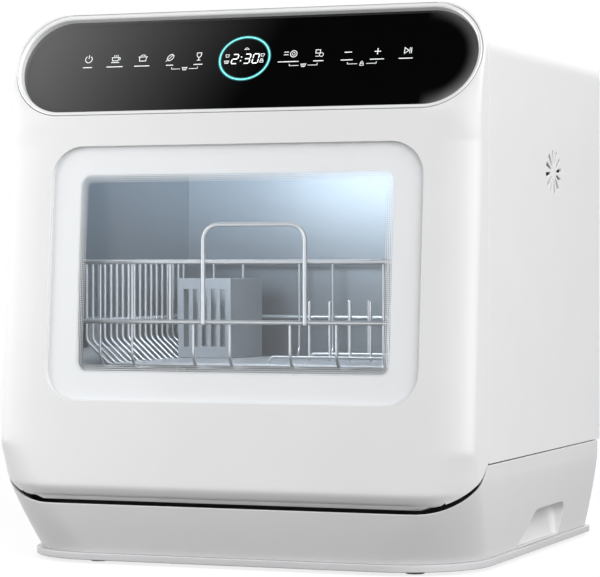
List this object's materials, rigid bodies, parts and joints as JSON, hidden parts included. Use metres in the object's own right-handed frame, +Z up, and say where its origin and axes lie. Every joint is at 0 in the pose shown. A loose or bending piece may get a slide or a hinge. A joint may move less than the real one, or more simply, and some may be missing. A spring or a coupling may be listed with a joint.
{
  "type": "countertop dishwasher",
  "caption": "Compact white countertop dishwasher with a drop-down glass door, sloping black touch panel, sliding wire rack, cutlery basket and spray arm.",
  "frame": {"origin": "centre of the footprint, on the surface that the feet stand on", "axes": "+Z up, -Y towards the person in front of the door, +X to that person's right"},
  "size_m": [0.42, 0.4099, 0.464],
  "materials": {
    "white_shell": "smooth white cover, satin gloss",
    "grey_base": "light grey fine matt",
    "rubber_foot": "matt grey rubber",
    "dark_sill": "black matt",
    "zinc_sheet": "plain zinc-plated sheet",
    "tub_steel": "blue-grey brushed sheet",
    "seal_rubber": "dark grey seal",
    "steel_rail": "bright steel",
    "white_wire": "white coated wire",
    "white_plastic": "white moulded",
    "grey_plastic": "grey moulded",
    "dark_plastic": "black moulded",
    "tank_plastic": "milky moulded",
    "valve_blue": "blue moulded",
    "circuit_board": "green lacquer",
    "clear_glass": "clear polished glass",
    "white_print": "white enamel print on the glass",
    "black_glass": "black polished glass",
    "bright_trim": "pale satin chrome"
  },
  "bodies": {
    "cabinet": {"base_plate": "grey_base", "base_skirt": "grey_base", "foot_pads": "rubber_foot", "door_sill": "dark_sill", "housing_shell": "white_shell", "rear_panel": "zinc_sheet", "front_beam": "zinc_sheet", "wash_tub": "tub_steel", "tub_gasket": "seal_rubber", "rack_rails": "steel_rail", "sump_housing": "grey_plastic", "filter_plate": "steel_rail", "wash_pump": "dark_plastic", "drain_pump": "dark_plastic", "water_heater": "steel_rail", "spray_hub": "grey_plastic", "water_tank": "tank_plastic", "filler_neck": "white_plastic", "inlet_valve": "valve_blue", "rear_ports": "dark_plastic", "mains_inlet": "dark_plastic", "control_board": "circuit_board", "fan_frame": "dark_plastic", "vent_duct": "white_plastic", "hinge_brackets": "zinc_sheet", "hinge_pins": "steel_rail", "hinge_springs": "steel_rail", "door_latch": "dark_plastic", "rear_screws": "steel_rail"},
    "door": {"door_shell": "white_shell", "fascia_trim": "bright_trim", "fascia_glass": "black_glass", "display_module": "dark_plastic", "touch_board": "circuit_board", "control_cover": "tub_steel", "window_pane": "clear_glass", "window_print": "white_print", "window_frame": "grey_plastic", "inner_pane": "clear_glass", "window_seal": "seal_rubber", "window_retainer": "steel_rail", "door_liner": "tub_steel", "hinge_arms": "zinc_sheet", "door_striker": "steel_rail", "dispenser_body": "grey_plastic", "door_screws": "steel_rail"},
    "detergent_lid": {"dispenser_lid": "white_plastic"},
    "rinse_aid_cap": {"rinse_cap": "grey_plastic"},
    "rack": {"rack_hoops": "white_wire", "rack_wires": "white_wire", "rack_tines": "white_wire", "rack_handle": "white_wire", "rack_runners": "steel_rail"},
    "basket": {"cutlery_basket": "grey_plastic"},
    "front_roller_pair": {"front_rollers": "white_plastic"},
    "rear_roller_pair": {"rear_rollers": "white_plastic"},
    "spray": {"spray_arm": "steel_rail"},
    "filter": {"filter_cup": "grey_plastic"},
    "tank_cap": {"filler_cap": "white_shell"},
    "fan": {"fan_impeller": "dark_plastic"}
  },
  "joints": [
    {"name": "door_hinge", "type": "hinge", "parent": "cabinet", "child": "door", "pos_m": [0, -0.187, 0.09], "axis": [1, 0, 0], "range_deg": [0, 90]},
    {"name": "rack_slide", "type": "slide", "parent": "cabinet", "child": "rack", "axis": [0, -1, 0], "range_m": [0, 0.157]},
    {"name": "front_roller_turn", "type": "hinge", "parent": "cabinet", "child": "front_roller_pair", "pos_m": [0, -0.112, 0.1522], "axis": [1, 0, 0], "range_deg": [0, 1290]},
    {"name": "rear_roller_turn", "type": "hinge", "parent": "rack", "child": "rear_roller_pair", "pos_m": [0, 0.112, 0.1522], "axis": [1, 0, 0], "range_deg": [0, 1290]},
    {"name": "basket_lift", "type": "slide", "parent": "rack", "child": "basket", "axis": [0, 0, 1], "range_m": [0, 0.09]},
    {"name": "spray_arm_spin", "type": "hinge", "parent": "cabinet", "child": "spray", "pos_m": [0, -0.00375, 0.13], "axis": [0, 0, 1], "continuous": true},
    {"name": "filter_twist", "type": "hinge", "parent": "cabinet", "child": "filter", "pos_m": [0.092, 0.072, 0.11], "axis": [0, 0, 1], "range_deg": [0, 60]},
    {"name": "tank_cap_twist", "type": "hinge", "parent": "cabinet", "child": "tank_cap", "pos_m": [-0.12, 0.161, 0.46], "axis": [0, 0, 1], "range_deg": [0, 90]},
    {"name": "detergent_lid_slide", "type": "slide", "parent": "door", "child": "detergent_lid", "axis": [1, 0, 0], "range_m": [0, 0.041]},
    {"name": "rinse_cap_twist", "type": "hinge", "parent": "door", "child": "rinse_aid_cap", "pos_m": [0.042, -0.156, 0.1235], "axis": [0, 1, 0], "range_deg": [0, 90]},
    {"name": "vent_fan_spin", "type": "hinge", "parent": "cabinet", "child": "fan", "pos_m": [0.2, 0.0446, 0.331], "axis": [1, 0, 0], "continuous": true}
  ],
  "couplings": [
    {"joint": "rack_slide", "follows": "door_hinge", "m_per_rad": 0.0999},
    {"joint": "front_roller_turn", "follows": "door_hinge", "ratio": 14.271},
    {"joint": "rear_roller_turn", "follows": "door_hinge", "ratio": 14.271}
  ]
}
